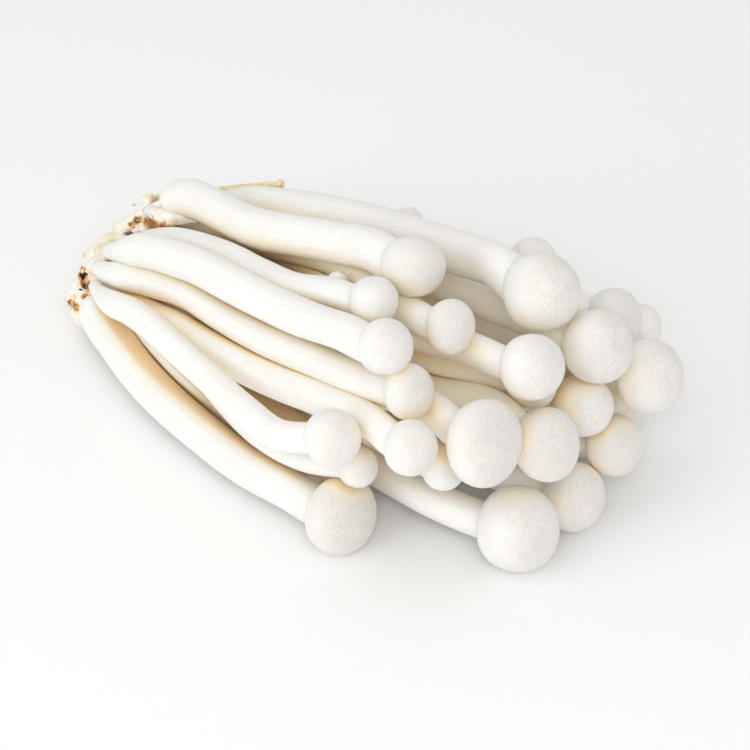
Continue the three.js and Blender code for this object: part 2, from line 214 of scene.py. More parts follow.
# Shader maths: a Wire is an output socket, and sums of wires and numbers add Math nodes.
class Wire:
    def __init__(self, tree, socket=None):
        self.tree, self.socket = tree, socket

    def node(self, kind, settings=None, sockets=None, out=0):
        made = self.tree.nodes.new(kind)
        for name, value in (settings or {}).items():
            setattr(made, name, value)
        for name, value in (sockets or {}).items():
            if isinstance(value, Wire):
                self.tree.links.new(value.socket, made.inputs[name])
            else:
                made.inputs[name].default_value = value
        return Wire(self.tree, made.outputs[out])

    def maths(self, operation, *values):
        return self.node("ShaderNodeMath", {"operation": operation}, dict(enumerate(values)))

    def __add__(self, other):
        return self.maths("ADD", self, other)

    def __sub__(self, other):
        return self.maths("SUBTRACT", self, other)

    def __rsub__(self, other):
        return self.maths("SUBTRACT", other, self)

    def __mul__(self, other):
        return self.maths("MULTIPLY", self, other)

    __radd__ = __add__
    __rmul__ = __mul__

    def between(self, low, high):  # 0 at low, 1 at high, and smooth
        sockets = {0: self, 1: low, 2: high, 3: 0.0, 4: 1.0}
        return self.node("ShaderNodeMapRange", {"interpolation_type": "SMOOTHSTEP"}, sockets)

    def colour(self, low, high):  # this wire mixes two colours
        sockets = {0: self, 6: low, 7: high}
        return self.node("ShaderNodeMix", {"data_type": "RGBA", "clamp_factor": True}, sockets, out=2)

    def scaled(self, factors):
        return self.node("ShaderNodeVectorMath", {"operation": "MULTIPLY"}, {0: self, 1: factors})

    def grain(self, scale, detail):
        sockets = {"Vector": self, "Scale": scale, "Detail": detail, "Roughness": 0.55}
        return self.node("ShaderNodeTexNoise", None, sockets)

    def bent(self, scale, far):  # a place moved by noise of this scale, at most about this far
        sockets = {"Vector": self, "Scale": scale, "Detail": 2.0}
        shift = self.node("ShaderNodeTexNoise", None, sockets, out=1)
        sockets = {0: shift, 1: (far, far, far), 2: self}
        return self.node("ShaderNodeVectorMath", {"operation": "MULTIPLY_ADD"}, sockets)

    def cellEdge(self, scale):  # how far it is to the nearest edge between cells
        sockets = {"Vector": self, "Scale": scale}
        return self.node("ShaderNodeTexVoronoi", {"feature": "DISTANCE_TO_EDGE"}, sockets)

    def bump(self, strength, distance):  # this wire is the height
        sockets = {"Strength": strength, "Distance": distance, "Height": self}
        return self.node("ShaderNodeBump", None, sockets)

    def stored(self, name, vector=False):
        return self.node("ShaderNodeAttribute", {"attribute_name": name}, out=1 if vector else 2)


def startMaterial(name):
    material = bpy.data.materials.new(name)
    material.use_nodes = True
    tree = material.node_tree
    shader = next(n for n in tree.nodes if n.type == "BSDF_PRINCIPLED")
    return material, Wire(tree), shader


def finishMaterial(wires, shader, uniform, varying):
    for name, value in uniform.items():
        shader.inputs[name].default_value = value
    for name, wire in varying.items():
        wires.tree.links.new(wire.socket, shader.inputs[name])


# In the settings of materials a scale is in features to a metre, From says where a tint starts and where
# it is full, and a share says how much of it there is.
fleshSettings = {
    "stem": (0.93, 0.92, 0.90, 1),
    "stemShade": (0.875, 0.86, 0.825, 1),
    "stemFrom": (0.35, 0.68),
    "streakScale": (900.0, 900.0, 70.0),  # across the stem both ways, and along it
    "streakShare": 0.7,  # and patches have the other 0.3
    "patchScale": 160.0,
    "cap": (0.83, 0.815, 0.78, 1),
    "capPale": (0.88, 0.87, 0.85, 1),
    "capFrom": (0.3, 0.75),
    "cell": (0.60, 0.535, 0.43, 1),  # a cap's net is pale lines round darker cells
    "cellFrom": (0.03, 0.17),
    "cellScale": 900.0,
    "cellStretch": (1.15, 1.15, 0.8),
    "cellShare": 0.02,
    "bendScale": 600.0,
    "bendFar": 0.0006,
    "speckScale": 2600.0,
    "speckShare": 0.42,
    "root": (0.90, 0.83, 0.68, 1),
    "rootFrom": (0.3, 0.7),
    "rootShare": 0.7,
    "hiddenSkyFrom": (0.35, 0.9),
    "hiddenViewFrom": (0.35, 0.85),
    "paintedWarmShade": (0.96, 0.85, 0.64, 1),  # painted warm shade among the mushrooms, standing in for light that has gone through flesh
    "warmViewFrom": (0.38, 0.92),
    "warmTouchFrom": (0.3, 1.0),
    "warmShares": (0.85, 0.3, 0.5),  # of what closes the view, what hides, and what touches
    "warmStreaks": (0.8, 0.3),  # the least, and what a streak adds
    "paintedGapShade": (0.80, 0.47, 0.15, 1),  # painted orange shade deep among them, where two nearly touch
    "creviceHiddenFrom": (0.4, 1.0),
    "creviceTouchFrom": (0.5, 1.1),
    "creviceHidden": 0.5,
    "creviceShare": 0.9,
    "fineScale": 1500.0,
    "shader": {
        "Metallic": 0.0,
        "Subsurface Weight": 0.5,
        "Subsurface Radius": (1.0, 0.55, 0.25),
        "Subsurface Scale": 0.004,
        "Specular IOR Level": 0.35,
    },
}


def makeFlesh():
    s = fleshSettings
    material, w, shader = startMaterial("mushroomFlesh")
    place = w.node("ShaderNodeTexCoord", out=3)
    skin = w.stored("skinPlace", vector=True)
    names = ("capShare", "netShare", "rootShare", "tone", "view", "sky", "touch")
    cap, net, root, tone, view, sky, touch = (w.stored(name) for name in names)
    streaks = skin.scaled(s["streakScale"]).grain(1.0, detail=4.0)
    patches = place.grain(s["patchScale"], detail=2.0)
    speck = place.grain(s["speckScale"], detail=2.0)
    fine = place.grain(s["fineScale"], detail=4.0)
    edge = place.bent(s["bendScale"], s["bendFar"]).scaled(s["cellStretch"]).cellEdge(s["cellScale"])
    cells = edge.between(*s["cellFrom"]) * net

    shade = streaks * s["streakShare"] + patches * (1 - s["streakShare"])
    stemColour = shade.between(*s["stemFrom"]).colour(s["stemShade"], s["stem"])
    capColour = (patches + tone).between(*s["capFrom"]).colour(s["cap"], s["capPale"])
    capColour = (cells * (s["cellShare"] + s["speckShare"] * speck)).colour(capColour, s["cell"])
    colour = cap.colour(stemColour, capColour)
    colour = (root * patches.between(*s["rootFrom"]) * s["rootShare"]).colour(colour, s["root"])

    # Painted shade among the mushrooms: warm where others close in a place's view and sky or nearly touch
    # it
    hidden = sky.between(*s["hiddenSkyFrom"]) * view.between(*s["hiddenViewFrom"])
    byView, byHidden, byTouch = s["warmShares"]
    paintedWarmShade = view.between(*s["warmViewFrom"]) * byView + hidden * byHidden
    paintedWarmShade = paintedWarmShade + touch.between(*s["warmTouchFrom"]) * byTouch
    least, more = s["warmStreaks"]
    colour = (paintedWarmShade * (least + more * streaks)).colour(colour, s["paintedWarmShade"])
    # Painted shade: orange deep in the gaps, where two mushrooms nearly touch
    deep = hidden.between(*s["creviceHiddenFrom"]) * s["creviceHidden"]
    deep = (deep + touch.between(*s["creviceTouchFrom"])) * s["creviceShare"]
    colour = deep.colour(colour, s["paintedGapShade"])

    height = streaks * (1 - cap) * 0.6 + fine * 0.25 - cells * 0.5
    rough = 0.42 + fine * 0.16 + net * 0.06
    finishMaterial(w, shader, s["shader"], {
        "Base Color": colour, "Roughness": rough, "Normal": height.bump(strength=0.35, distance=0.00025)})
    return material


fleshMaterial = makeFlesh()

tornSettings = {
    "pale": (0.92, 0.90, 0.86, 1),
    "cream": (0.90, 0.84, 0.72, 1),
    "paleFrom": (0.35, 0.65),
    "patchScale": 420.0,
    "patchShare": 0.7,  # and fibres have the other 0.3
    "fibreScale": 1900.0,
    "fibreStretch": (1.0, 0.35, 1.0),
    # beige for listed patches, and painted shade on faces turned from the viewer
    "beige": (0.86, 0.74, 0.52, 1),
    "beigeShares": (0.5, 0.6),  # the least, and what a fibre adds
    "orange": (0.74, 0.45, 0.17, 1),
    "orangeFrom": (0.0, 0.55),
    "brown": (0.36, 0.16, 0.05, 1),
    "brownFrom": (0.45, 1.0),
    # near black painted shade in cracks and pits
    "paintedCrackShade": (0.035, 0.018, 0.008, 1),
    "darkFrom": (0.3, 0.8),
    "shader": {
        "Metallic": 0.0,
        "Subsurface Weight": 0.4,
        "Subsurface Radius": (1.0, 0.5, 0.2),
        "Subsurface Scale": 0.002,
        "Specular IOR Level": 0.3,
    },
}


def makeTorn():
    s = tornSettings
    material, w, shader = startMaterial("tornFlesh")
    place = w.node("ShaderNodeTexCoord", out=3)
    brown, beige, paintedCrackShade = (w.stored(name) for name in ("brown", "beige", "paintedCrackShade"))
    patches = place.grain(s["patchScale"], detail=3.0)
    fibres = place.scaled(s["fibreStretch"]).grain(s["fibreScale"], detail=4.0)
    shade = patches * s["patchShare"] + fibres * (1 - s["patchShare"])
    colour = shade.between(*s["paleFrom"]).colour(s["cream"], s["pale"])
    least, more = s["beigeShares"]
    # beige: listed patches, and painted shade where faces turn from the viewer
    colour = (beige * (least + more * fibres)).colour(colour, s["beige"])
    broken = brown * 1.2 + fibres * 0.9 + patches * 0.5 - 0.8  # brown with ragged edges: real stains, and painted shade in the hollow under the stub
    colour = broken.between(*s["orangeFrom"]).colour(colour, s["orange"])
    colour = broken.between(*s["brownFrom"]).colour(colour, s["brown"])
    # Painted shade: near black in the cracks and pits
    colour = (paintedCrackShade * 1.2 + patches * 0.4 - 0.3).between(*s["darkFrom"]).colour(colour, s["paintedCrackShade"])
    finishMaterial(w, shader, s["shader"], {
        "Base Color": colour, "Roughness": 0.5 + fibres * 0.25,
        "Normal": (fibres + patches).bump(strength=0.5, distance=0.0003)})
    return material


driedSettings = {
    "straw": (0.80, 0.66, 0.36, 1),
    "pale": (0.92, 0.86, 0.66, 1),
    "paleFrom": (0.35, 0.65),
    "brown": (0.68, 0.45, 0.18, 1),
    "brownFrom": (0.55, 0.75),
    "streakScale": (1400.0, 1400.0, 160.0),
    "patchScale": 500.0,
}


def makeDried():
    s = driedSettings
    material, w, shader = startMaterial("driedStem")
    skin = w.stored("skinPlace", vector=True)
    streaks = skin.scaled(s["streakScale"]).grain(1.0, detail=4.0)
    patches = skin.grain(s["patchScale"], detail=2.0)
    colour = streaks.between(*s["paleFrom"]).colour(s["straw"], s["pale"])
    colour = patches.between(*s["brownFrom"]).colour(colour, s["brown"])
    finishMaterial(w, shader, tornSettings["shader"], {
        "Base Color": colour, "Roughness": 0.5 + streaks * 0.2,
        "Normal": streaks.bump(strength=0.5, distance=0.0003)})
    return material


tornMaterial, driedMaterial = makeTorn(), makeDried()
print("materials made")

# A cap's outline, from the hollow round the stem, over the gills and the rolled rim, to the apex. Each row
# is how far along the cap's axis, how far out from it as a share of the way from the stem to the rim's
# inside, and how much further out as a share of the cap's half width.
capSettings = {
    "outline": [
        (-0.42, 0.0, 0.0),
        (-0.40, 0.3, 0.0),
        (-0.46, 0.65, 0.0),
        (-0.60, 0.93, 0.0),
        (-0.72, 1.0, 0.01),
        (-0.765, 1.0, 0.06),
        (-0.735, 1.0, 0.14),
        (-0.65, 1.0, 0.225),
        (-0.47, 1.0, 0.305),
        (-0.22, 1.0, 0.345),
        (0.04, 1.0, 0.352),
        (0.30, 1.0, 0.30),
        (0.53, 1.0, 0.19),
        (0.71, 1.0, 0.025),
        (0.84, 1.0, -0.185),
        (0.915, 1.0, -0.42),
    ],
    "innerRim": 0.66,
    "lip": 0.03,  # how far at least the rim's inside is from the stem
    "rimRow": 4,
    "roundFrom": 0.3,  # from here along the axis, a cap is at most its half width
    "gillDepth": 0.055,
    "gillRise": (0.10, 0.35),  # where the gills begin and end, as shares of the way to the rim
    "gillFall": (0.72, 1.0),
    "uneven": 0.018,
    "unevenFrom": (0.9, 1.3),
    "apex": 0.935,
    "rows": 46,
}
stemSettings = {
    "around": 96,  # two columns to a gill
    "aroundHidden": 56,
    "rows": 72,
    "ridges": (0.020, 0.013, 0.009, 0.006),  # how deep the long ridges are, as shares of the radius
    "drift": 60,  # how much at most they turn round the stem, in radians to a metre
    "dents": 0.03,
    "dentSize": 0.0045,
    "dentRing": 0.004,  # the noise for dents is read on a tube of this radius, stretched by this factor
    "dentStretch": 0.45,
    "fadeIn": (0.004, 0.02),  # where ridges and dents come in, in metres from the root
    "fadeOut": (1.5, 0.2),  # and where they end, in half widths of the cap before the stem's end
    "turnsFrom": 1.2,  # where the stem turns the way that its cap faces, counted like that too
    "fullRings": (3, 6),
    "root": 0.5,  # how thick a root is, as a share of its stem
    "rootFull": 0.9,
    "rootRise": (0.1, 0.8),
    "thinRoot": 0.3,  # and of a stem whose foot is seen
    # where such a foot's round end lies and where it is at full width, from the middle of its drawn start
    "feet": {"mushroom_01": (-0.0036, 0.001), "mushroom_07": (-0.0040, 0.0015)},
    "footLead": 0.001,
    "rootEnd": 0.0005,
}
tintSettings = {  # what is stored on a mushroom for its material
    "capBefore": 0.25,
    "netFrom": (0.0, 0.7),
    "netHalf": (0.0045, 0.0085),  # small caps have a fainter net, down to this share
    "netLeast": 0.45,
    "rootFrom": (0.002, 0.009),
    "tone": 0.15,
    "apart": 0.37,  # how far apart the mushrooms lie in their material's noise
    "leastRadius": 0.001,
    "rows": 60,  # a coarse grid for what closes in a place
    "columns": 20,
}


bunch = {name: readMushroom(node) for name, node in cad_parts.items() if name != "base"}


# Balls that stand for the whole bunch: a row along every stem, and one for each cap. With each goes the
# area that its part of the bunch shows, over pi.
ballSettings = {
    "perStem": 40,
    "from": 0.06,
    "to": 0.97,
    "capShare": 0.93,
    "reach": 0.030,
    "strength": 1.3,
    "touch": 0.0008,
    "touchFacing": 0.1,
}


def bunchBalls():
    s = ballSettings
    share = np.linspace(s["from"], s["to"], s["perStem"])
    middles, radii, areas, owners = [], [], [], []
    for number, m in enumerate(bunch.values()):
        stations = np.linspace(0, 1, len(m["middles"]))
        rows = smoothLine(stations, np.column_stack([m["middles"], m["radii"]]), share)
        step = np.linalg.norm(np.gradient(rows[:, :3], axis=0), axis=1)
        middles.append(np.vstack([rows[:, :3], m["head"]]))
        radii.append(np.append(rows[:, 3], s["capShare"] * m["half"]))
        areas.append(np.append(2 / math.pi * rows[:, 3] * step, m["half"] ** 2))
        owners.append(np.full(s["perStem"] + 1, number))
    return [np.concatenate(values) for values in (middles, radii, areas, owners)]


balls = bunchBalls()


# How much of its view and of its sky the other mushrooms take from a place, and how near it is to touching
# one. A ball takes the part that is its area over pi, over its distance squared, times the cosine of its
# angle to the outward direction, or for the sky to straight up. The parts are added up to a sum x, and what
# they take together is 1 - exp(-x).
def closedIn(places, outwards, owner):
    s = ballSettings
    middles, radii, areas, owners = (values[balls[3] != owner] for values in balls)
    way = middles[None] - places[:, None]
    far = np.linalg.norm(way, axis=2)
    facing = np.einsum("ijk,ik->ij", way, outwards) / far
    near = np.maximum(far, radii[None])
    share = areas[None] / near**2 * (far < s["reach"])
    view = 1 - np.exp(-s["strength"] * (share * np.clip(facing, 0, 1)).sum(axis=1))
    sky = 1 - np.exp(-s["strength"] * (share * np.clip(way[:, :, 2] / far, 0, 1)).sum(axis=1))
    apart = np.where(facing > s["touchFacing"], far - radii[None], 1.0).min(axis=1)
    return {"view": view, "sky": sky, "touch": np.exp(-np.clip(apart, 0, 1) / s["touch"])}


# Values of a coarse grid of rows and columns, blended for a fine grid that closes round the columns.
def blendGrid(coarse, rowCount, around):
    down = np.linspace(0, len(coarse) - 1, rowCount)
    beside = np.arange(around) / around * coarse.shape[1]
    i, j = np.minimum(down.astype(int), len(coarse) - 2), beside.astype(int)
    s, t = (down - i)[:, None], (beside - j)[None, :]
    k = (j + 1) % coarse.shape[1]
    above = coarse[i][:, j] * (1 - t) + coarse[i][:, k] * t
    below = coarse[i + 1][:, j] * (1 - t) + coarse[i + 1][:, k] * t
    return above * (1 - s) + below * s


def stemLine(name, m):  # a stem's rows: how far along, middles and radii
    s = stemSettings
    stations = alongLine(m["middles"])
    wanted = stations[-1] * (np.arange(s["rows"]) / (s["rows"] - 1))
    rows = np.column_stack([m["middles"], m["radii"]])
    line = smoothLine(stations, rows, wanted, np.append(m["facing"], 0.0))
    middles, radii = line[:, :3], line[:, 3]
    first, last = s["fullRings"]
    full = m["radii"][first:last].max()
    rootEnd = stations[np.argmax(m["radii"] > s["rootFull"] * full)]
    low, high = s["rootRise"]
    least = s["root"] + (1 - s["root"]) * smoothStep(wanted, low * rootEnd, high * rootEnd)
    if name in s["feet"]:  # the end is round: its width is that of a circle
        start = stations[1:3].mean()
        before, after = s["feet"][name]
        t = np.clip((wanted - start - before) / (after - before), 0, 1)
        least = s["thinRoot"] + (1 - s["thinRoot"]) * np.sqrt(1 - (1 - t) ** 2)
        radii = radii * smoothStep(wanted, start + before - s["footLead"], start + after)
    return wanted, middles, np.maximum(radii, full * least)


def capLine(m):  # a cap's rows: how far along the outline, along the axis and out, and in shares to the rim
    s = capSettings
    neck = m["radii"][-1] / m["half"]
    inner = max(s["innerRim"], neck + s["lip"])
    ahead, inwards, outwards = np.array(s["outline"]).T
    out = neck + (inner - neck) * inwards + outwards
    out = np.where(ahead > s["roundFrom"], np.minimum(out, 1.0), out)
    outline = np.column_stack([ahead, out])
    marks = alongLine(outline)
    spots = marks[-1] * (np.arange(1, s["rows"] + 1) / s["rows"])
    return spots, smoothLine(marks, outline, spots), spots / marks[s["rimRow"]]


# One mushroom as a single skin. Its stem is a circle carried along a smooth line through the solid's ring
# middles, with long ridges: the radius swells by cosines of a few turns round the stem, whose phase drifts
# along it. Its cap is the outline above turned round the cap's axis, with every second column of the
# underside lowered for the gills.
def buildMushroom(name, node, number, hidden, material, slot):
    m = bunch[node.name]
    s, c, tints = stemSettings, capSettings, tintSettings
    around = s["aroundHidden"] if hidden else s["around"]
    turn = fullTurn(around)
    wanted, stemMiddles, stemRadii = stemLine(node.name, m)
    spots, capRows, underside = capLine(m)
    length, half = wanted[-1], m["half"]
    along = unit(np.gradient(stemMiddles, axis=0))
    blend = smoothStep(wanted, length - s["turnsFrom"] * half, length)[:, None]
    along = unit(along * (1 - blend) + m["facing"] * blend)

    def onRows(values, onStem=0.0):  # the cap's values, after one value for all the stem's rows
        return np.concatenate([np.full(s["rows"], onStem), values])[:, None]

    middles = np.concatenate([stemMiddles, m["head"] + m["facing"] * capRows[:, :1] * m["deep"]])
    radii = np.concatenate([stemRadii, capRows[:, 1] * half])
    along = np.concatenate([along, np.repeat(m["facing"][None], c["rows"], axis=0)])
    up = np.array((0.0, 0.0, 1.0))
    out = unit(up - along * along[:, 2:])
    side = np.cross(along, out)

    distance = np.concatenate([wanted, length + spots * half])[:, None]
    swell = np.zeros((len(middles), around))
    phases, drifts = draw.uniform(0, 2 * math.pi, 6), draw.uniform(-s["drift"], s["drift"], 6)
    for k, depth in enumerate(s["ridges"]):
        swell += depth * np.cos((k + 2) * turn + phases[k] + drifts[k] * distance)
    ring = s["dentRing"]
    tube = gathered(np.cos(turn) * ring, np.sin(turn) * ring, distance * s["dentStretch"])
    swell += s["dents"] * noise(tube, s["dentSize"], number).reshape(swell.shape)
    before, until = (length - far * half for far in s["fadeOut"])
    fade = smoothStep(distance, *s["fadeIn"]) * (1 - smoothStep(distance, before, until))
    swell *= fade * (1 - onRows(np.ones(c["rows"])))
    uneven = c["uneven"] * (np.cos(2 * turn + phases[4]) + 0.6 * np.cos(3 * turn + phases[5]))
    swell = swell + uneven * onRows(smoothStep(underside, *c["unevenFrom"]))

    across = np.cos(turn)[None, :, None] * -out[:, None] + np.sin(turn)[None, :, None] * side[:, None]
    points = middles[:, None] + across * (radii[:, None] * (1 + swell))[:, :, None]
    gills = smoothStep(underside, *c["gillRise"]) * (1 - smoothStep(underside, *c["gillFall"]))
    gills = onRows(gills) * (np.arange(around) % 2)
    points += (gills * c["gillDepth"] * half)[:, :, None] * -m["facing"]

    rootPole = middles[0] - along[0] * s["rootEnd"]
    apexPole = m["head"] + m["facing"] * c["apex"] * m["deep"]
    skin = np.concatenate([rootPole[None], points.reshape(-1, 3), apexPole[None]])
    skin[:, 2] = np.maximum(skin[:, 2], 0.0)  # pressed flat where it lies on the table

    piece = meshPiece(name, skin, skinFaces(len(middles), around))
    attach(piece, "root")
    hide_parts(node.name)
    piece.data.materials.append(material)

    def spread(values):  # a value for each row, or row and column, given to every point
        values = np.broadcast_to(values, (len(middles), around)).ravel()
        return np.concatenate([values[:1], values, values[-1:]])

    thick = np.maximum(radii, tints["leastRadius"])[:, None]
    places = (thick * np.cos(turn), thick * np.sin(turn), distance + tints["apart"] * number)
    store(piece, "skinPlace", np.stack([spread(values) for values in places], axis=-1))
    capShare = smoothStep(wanted, length - tints["capBefore"] * half, length)
    store(piece, "capShare", spread(np.append(capShare, np.ones(c["rows"]))[:, None]))
    net = tints["netLeast"] + (1 - tints["netLeast"]) * smoothStep(half, *tints["netHalf"])
    store(piece, "netShare", spread(smoothStep(onRows(capRows[:, 0], -1.0), *tints["netFrom"]) * net))
    store(piece, "rootShare", spread(1 - smoothStep(distance, *tints["rootFrom"])))
    store(piece, "tone", np.full(len(skin), draw.uniform(-tints["tone"], tints["tone"])))
    rowsPicked = np.linspace(0, len(middles) - 1, tints["rows"]).astype(int)
    picked = points[rowsPicked][:, :: around // tints["columns"]]
    centres = np.concatenate([stemMiddles, np.repeat(m["head"][None], c["rows"], axis=0)])
    outwards = unit(picked - centres[rowsPicked][:, None])
    closed = closedIn(picked.reshape(-1, 3), outwards.reshape(-1, 3), number - 1)
    # these closed-in values drive the painted shade of the flesh
    for layer, coarse in closed.items():
        store(piece, layer, spread(blendGrid(coarse.reshape(picked.shape[:2]), len(middles), around)))


firstHidden = 31
for number, nodeName in enumerate(bunch, start=1):
    looks = (driedMaterial, "torn_base") if nodeName == "thin_stem" else (fleshMaterial, "flesh")
    buildMushroom("skin_" + nodeName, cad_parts[nodeName], number, number >= firstHidden, *looks)
print(len(bunch) - 1, "mushrooms and a dried stem made")

# The torn base is a copy of its solid with curled skins and lumps added, made one by a remesh, roughened,
# and then coloured: brown stains, with painted shade in the hollow under the stub, beige patches, with
# painted shade on faces turned from the viewer, and near black painted shade in cracks and pits. Skins:
# rows of pixel x, pixel y, height and half width in millimetres, with their thickness, how far their edges
# bend to the viewer, and how far they are turned about their line. Lumps: pixel x, pixel y, height, and
# half sizes to the right, up and towards the viewer. Spots of brown, beige and painted crack shade: pixel
# x, pixel y and how far they reach in pixels. Pits also sink in, by a depth in millimetres.
baseSettings = {
    "voxel": 0.00030,
    "skins": {
        "leaf": ([[83, 260, 17.5, 0.2], [92, 252.5, 20, 0.8], [102, 241.5, 23, 1.35], [113, 238, 25, 1.65],
                  [122, 237.5, 26, 1.5], [130, 237.5, 26.5, 0.6]], 0.8, -1.3, 0),
        "secondLeaf": ([[84, 260, 17.5, 0.25], [95, 254, 19.5, 0.6], [105, 249.5, 22.5, 1.1],
                        [113, 247.5, 24.5, 1.2], [120, 248, 26, 0.6]], 0.8, 0.6, 15),
        "neck": ([[97, 258, 20, 1.0], [92, 264, 18.5, 1.6], [91, 271, 17, 1.7], [95, 278, 16.5, 1.2]],
                 1.6, -0.6, 0),
        "neckSide": ([[86, 261, 17.5, 0.5], [86.5, 267, 16.5, 0.6], [84, 273, 15, 0.4]], 1.0, 0.2, 0),
        "hollowRim": ([[79, 281, 13.5, 0.4], [88, 280, 15, 0.5], [98, 281, 16.5, 0.6], [97, 290, 15, 0.7],
                       [93, 297, 13, 0.5]], 1.1, 0.4, 0),
        "lobe": ([[82, 286, 12, 0.6], [73, 293, 10, 1.3], [71.5, 299, 9, 1.6], [78, 304, 8.5, 2.0],
                  [88, 308, 9, 2.0], [92, 314, 9, 1.2]], 1.7, 0.8, 0),
        "lobeRim": ([[67, 301, 8, 0.4], [71, 307, 7, 0.7], [75, 311.5, 6, 0.8], [82, 312.5, 6.2, 0.7],
                     [88, 317.5, 5.6, 0.5]], 0.8, 0.5, 0),
        "spike": ([[131.5, 205.5, 33, 0.15], [138, 203.5, 34, 0.6], [146, 199, 35, 1.1],
                   [153, 196, 36, 1.0]], 0.7, -0.3, 0),
        "wall": ([[149, 198, 36, 1.0], [145, 206, 34.5, 1.5], [144, 214, 33, 1.5], [148, 221, 31, 1.2]],
                 1.2, -0.6, 0),
        "rim": ([[146, 199, 35.5, 0.4], [152, 194, 37, 0.45], [160, 193.2, 38, 0.5], [170, 194, 39, 0.5],
                 [178, 197, 39.5, 0.5]], 0.9, 0.2, 0),
        "back": ([[150, 201, 34, 1.6], [160, 200.5, 35, 1.9], [170, 201, 36, 1.9], [180, 203, 37, 1.2]],
                 0.8, 0.4, 0),
        "curl": ([[160, 196.5, 37.5, 0.5], [163, 200, 37.5, 0.55], [167, 205, 38, 0.5],
                  [173, 208.5, 38.5, 0.4]], 0.6, 0.4, 30),
        "stub": ([[151.5, 209, 36, 1.2], [156, 213.5, 37, 1.9], [166, 217.5, 38, 2.15],
                  [180, 218.5, 38.5, 1.75], [190, 219, 38.5, 1.2], [200, 222, 38.5, 0.5]], 2.4, -0.6, 0),
        "under": ([[133, 231, 28, 0.9], [142, 227, 30, 1.7], [153, 224, 31.5, 1.8],
                   [166, 224, 32.5, 1.4]], 2.0, 0.2, 0),
    },
    "lumps": [
        [105, 260.5, 23.5, 1.2, 0.95, 0.9],
        [135.5, 230, 29.5, 1.4, 0.95, 1.3],
        [132, 225.5, 29.5, 0.6, 0.7, 0.8],
        [143, 231, 29.5, 0.9, 0.6, 0.9],
        [130, 236, 27.5, 0.6, 0.5, 0.8],
        [77, 311, 6, 0.7, 0.6, 0.7],
        [85, 313, 6.6, 0.9, 0.8, 0.9],
    ],
    "ring": [137.2, 220.5, 31.8, 1.0, 1.15, 0.42],
    "sheaths": {  # round the roots: how far along, from and to, and how thick, in millimetres
        "mushroom_01": (0, 12.5, 2.0, 1.7),
        "mushroom_02": (0, 7, 2.0, 1.9),
        "mushroom_03": (0, 12, 2.2, 2.2),
        "mushroom_04": (0, 4, 2.2, 2.2),
        "mushroom_05": (0, 6, 2.0, 1.8),
        "mushroom_06": (0, 5.5, 2.2, 2.2),
        "mushroom_07": (0, 3, 2.4, 2.2),
        "mushroom_10": (0, 8, 1.8, 1.6),
        "mushroom_12": (0, 8, 1.8, 1.6),
    },
    "pits": [[83.5, 276.5, 4.6, 2.0], [84, 285.5, 4.2, 1.5], [91, 288, 5.5, 1.3], [137.2, 220.5, 3, 0.6],
             [156, 199.5, 4.5, 0.5], [104, 246, 3.2, 0.6], [88, 295, 4.2, 0.6]],
    # near black painted shade in cracks and pits
    "paintedCrackShade": [[83, 277, 4.4], [86.5, 275, 2.6], [85, 286, 3.2], [80.5, 289.5, 2.2], [114, 249, 2.2],
             [137, 222.5, 2.2], [77, 310, 1.6]],
    # brown: real stains, and the three spots near pixel (150, 224) are painted shade in the hollow under
    # the stub
    "brown": [[83, 277, 7], [85, 286, 7.5], [114, 248.5, 5.5], [137.5, 220, 7], [131.5, 226, 4.5],
              [152, 224.5, 10], [162, 226, 7], [147, 222, 6], [72.5, 304, 5], [76, 308, 6.5],
              [86, 296, 6], [84, 314, 4.5], [122, 243.5, 4], [130.5, 236, 4], [171, 205, 5.5],
              [84, 270, 3.5], [166, 197, 7], [88, 318, 3.5]],
    # beige patches; faces turned from the viewer get painted beige shade as well
    "beige": [[156, 199, 8], [166, 198, 10], [105, 261, 6], [93, 273, 5], [100, 248, 9], [92, 290, 8],
              [110, 235, 14], [175, 224, 10], [150, 196, 7], [115, 255, 8], [72, 298, 6], [80, 311, 8]],
    "settleRounds": 2,
    "hollowRounds": 24,
    "seenFrom": (-0.1, 0.3),
    "pitFull": 0.2,  # how much of a pit or spot is at its full depth or colour
    "spotFull": 0.35,
    "broad": (0.00028, 0.0021),  # how high the roughness is, and how large
    "fine": (0.00013, 0.0008),
    "speckleSize": 0.0011,
    "hollowFrom": (0.20, 0.45),  # hollows and crests turn brown too, between these depths in millimetres
    "crestFrom": (0.22, 0.5),
}


def toPixels(places):
    way = places - eye
    depth = way @ -toViewer
    middle = cameraSettings["middlePixel"]
    across, down = middle + focal * (way @ toRight) / depth, middle - focal * (way @ toTop) / depth
    return np.stack([across, down], axis=-1)


def lineFrame(middles):  # along a line: the direction ahead, out to the viewer and to the side
    ahead = unit(np.gradient(middles, axis=0))
    out = unit(toViewer - ahead * (ahead @ toViewer)[:, None])
    return ahead, out, np.cross(ahead, out)


def closedTube(points, middles, ahead, beyond):  # rings of points, and a pole a little beyond each end
    first, last = middles[:1] - ahead[:1] * beyond, middles[-1:] + ahead[-1:] * beyond
    faces = skinFaces(*points.shape[:2])
    return np.concatenate([first, points.reshape(-1, 3), last]), faces


